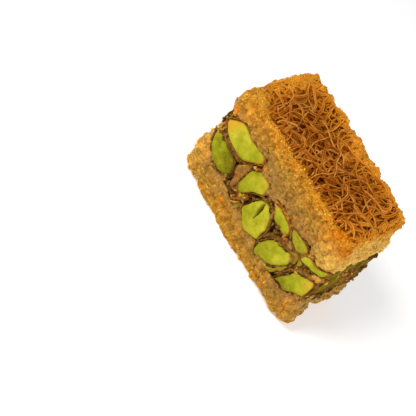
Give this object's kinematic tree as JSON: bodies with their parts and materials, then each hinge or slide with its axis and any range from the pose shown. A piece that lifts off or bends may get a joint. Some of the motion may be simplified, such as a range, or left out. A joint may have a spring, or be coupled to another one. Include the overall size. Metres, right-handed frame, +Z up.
{
  "type": "pistachio kataifi square",
  "caption": "Hand-cut block of layered shredded pastry with a filling of whole pistachio kernels, browned top; food to place on a plate.",
  "frame": {"origin": "middle of the block's footprint, on the surface it rests on", "axes": "+Z up; +X along the long cut side; the long side that shows the filling best faces -Y"},
  "size_m": [0.054, 0.0271, 0.0311],
  "materials": {
    "toasted_pastry": "golden brown, toasted shredded pastry, slightly glossy with syrup",
    "soaked_pastry": "golden, dense, syrup-soaked shredded pastry",
    "dark_paste": "dark, moist crumb and skins between the kernels",
    "pistachio": "yellow-green kernels, waxy"
  },
  "bodies": {
    "root": {"base_layer": "soaked_pastry", "filling_paste": "dark_paste", "kernel_back_1": "pistachio", "kernel_back_2": "pistachio", "kernel_back_3": "pistachio", "kernel_back_4": "pistachio", "kernel_back_5": "pistachio", "kernel_back_6": "pistachio", "kernel_back_7": "pistachio", "kernel_back_8": "pistachio", "kernel_back_9": "pistachio", "kernel_front_1": "pistachio", "kernel_front_10": "pistachio", "kernel_front_2": "pistachio", "kernel_front_3": "pistachio", "kernel_front_4": "pistachio", "kernel_front_5": "pistachio", "kernel_front_6": "pistachio", "kernel_front_7": "pistachio", "kernel_front_8": "pistachio", "kernel_front_9": "pistachio", "kernel_left_1": "pistachio", "kernel_left_2": "pistachio", "kernel_left_3": "pistachio", "kernel_left_4": "pistachio", "kernel_right_1": "pistachio", "kernel_right_2": "pistachio", "kernel_right_3": "pistachio", "kernel_right_4": "pistachio", "top_layer": "toasted_pastry"}
  },
  "joints": []
}
